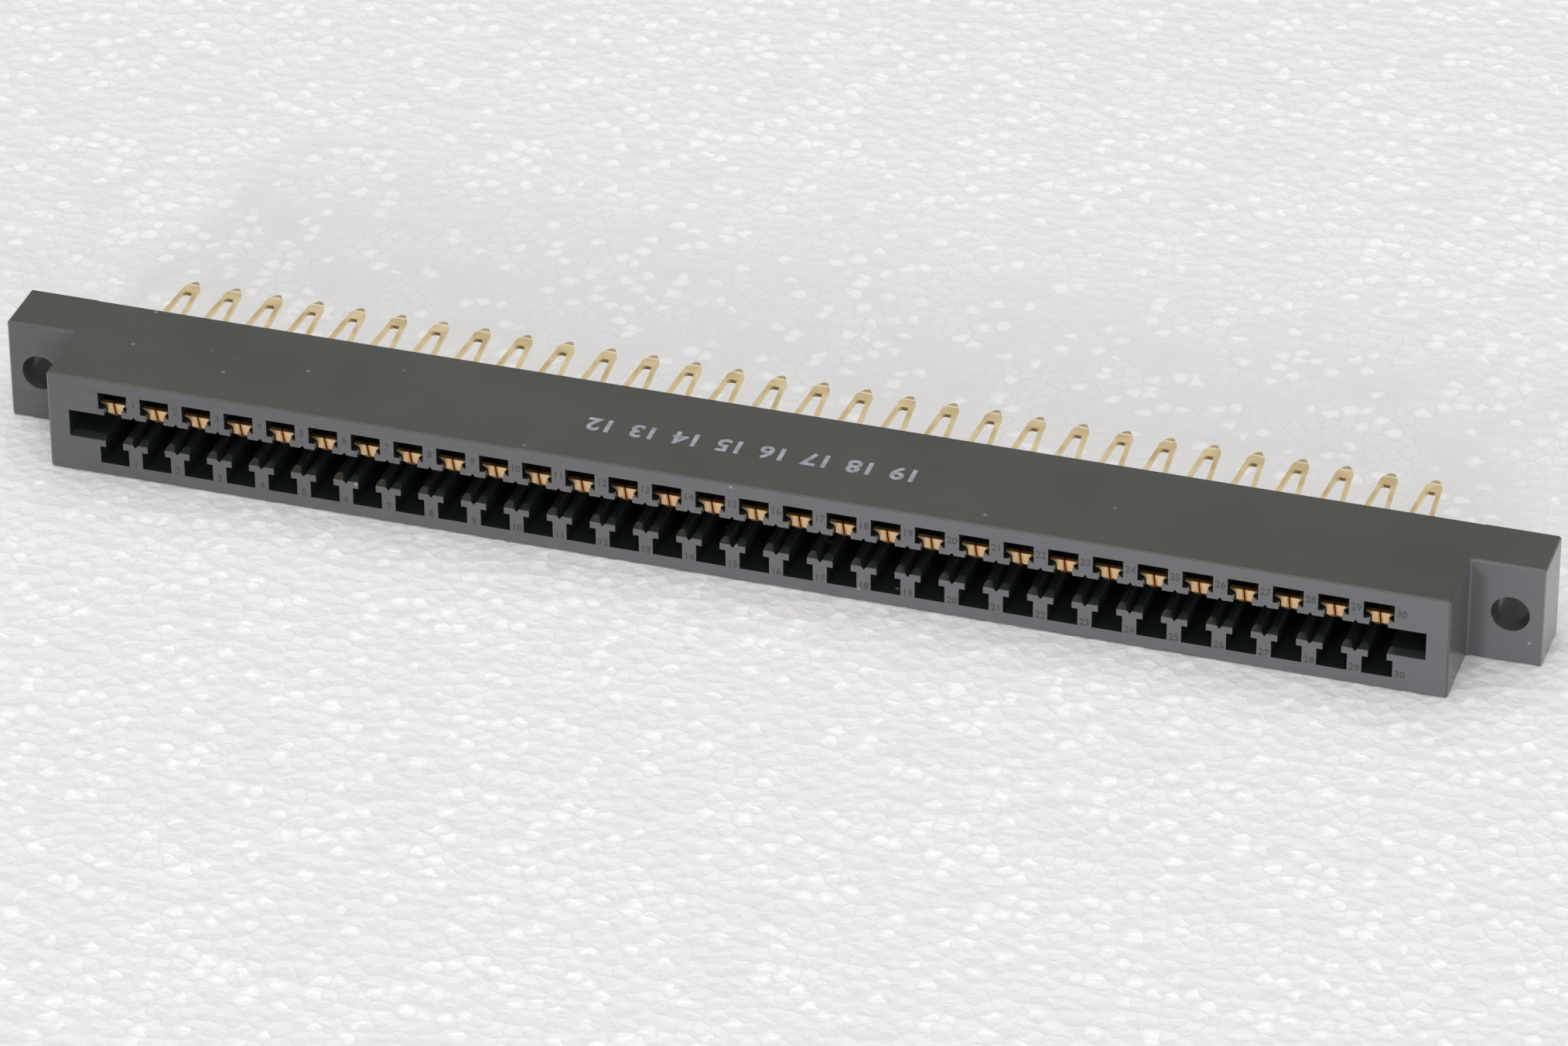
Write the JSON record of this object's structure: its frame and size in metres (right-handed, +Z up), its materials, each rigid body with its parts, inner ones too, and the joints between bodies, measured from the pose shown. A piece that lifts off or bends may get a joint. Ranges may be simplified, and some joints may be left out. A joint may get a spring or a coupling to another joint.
{
  "type": "card edge connector",
  "caption": "Long board edge connector: slotted insulator with a single row of spring contacts, solder eyelet tails and a mounting ear at each end.",
  "frame": {"origin": "middle of the box around the whole connector, on the surface that it lies on", "axes": "+X along the row of contacts, -Y out of the side that the card goes in at, +Y out along the solder tails, +Z up through the loaded row"},
  "size_m": [0.1404, 0.021, 0.0098],
  "materials": {
    "insulator": "charcoal moulded thermoplastic, smooth and half glossy",
    "contact_metal": "thin gold plating over stamped copper alloy, satin"
  },
  "bodies": {
    "root": {"housing": "insulator", "contact_01": "contact_metal", "contact_02": "contact_metal", "contact_03": "contact_metal", "contact_04": "contact_metal", "contact_05": "contact_metal", "contact_06": "contact_metal", "contact_07": "contact_metal", "contact_08": "contact_metal", "contact_09": "contact_metal", "contact_10": "contact_metal", "contact_11": "contact_metal", "contact_12": "contact_metal", "contact_13": "contact_metal", "contact_14": "contact_metal", "contact_15": "contact_metal", "contact_16": "contact_metal", "contact_17": "contact_metal", "contact_18": "contact_metal", "contact_19": "contact_metal", "contact_20": "contact_metal", "contact_21": "contact_metal", "contact_22": "contact_metal", "contact_23": "contact_metal", "contact_24": "contact_metal", "contact_25": "contact_metal", "contact_26": "contact_metal", "contact_27": "contact_metal", "contact_28": "contact_metal", "contact_29": "contact_metal", "contact_30": "contact_metal"}
  },
  "joints": []
}
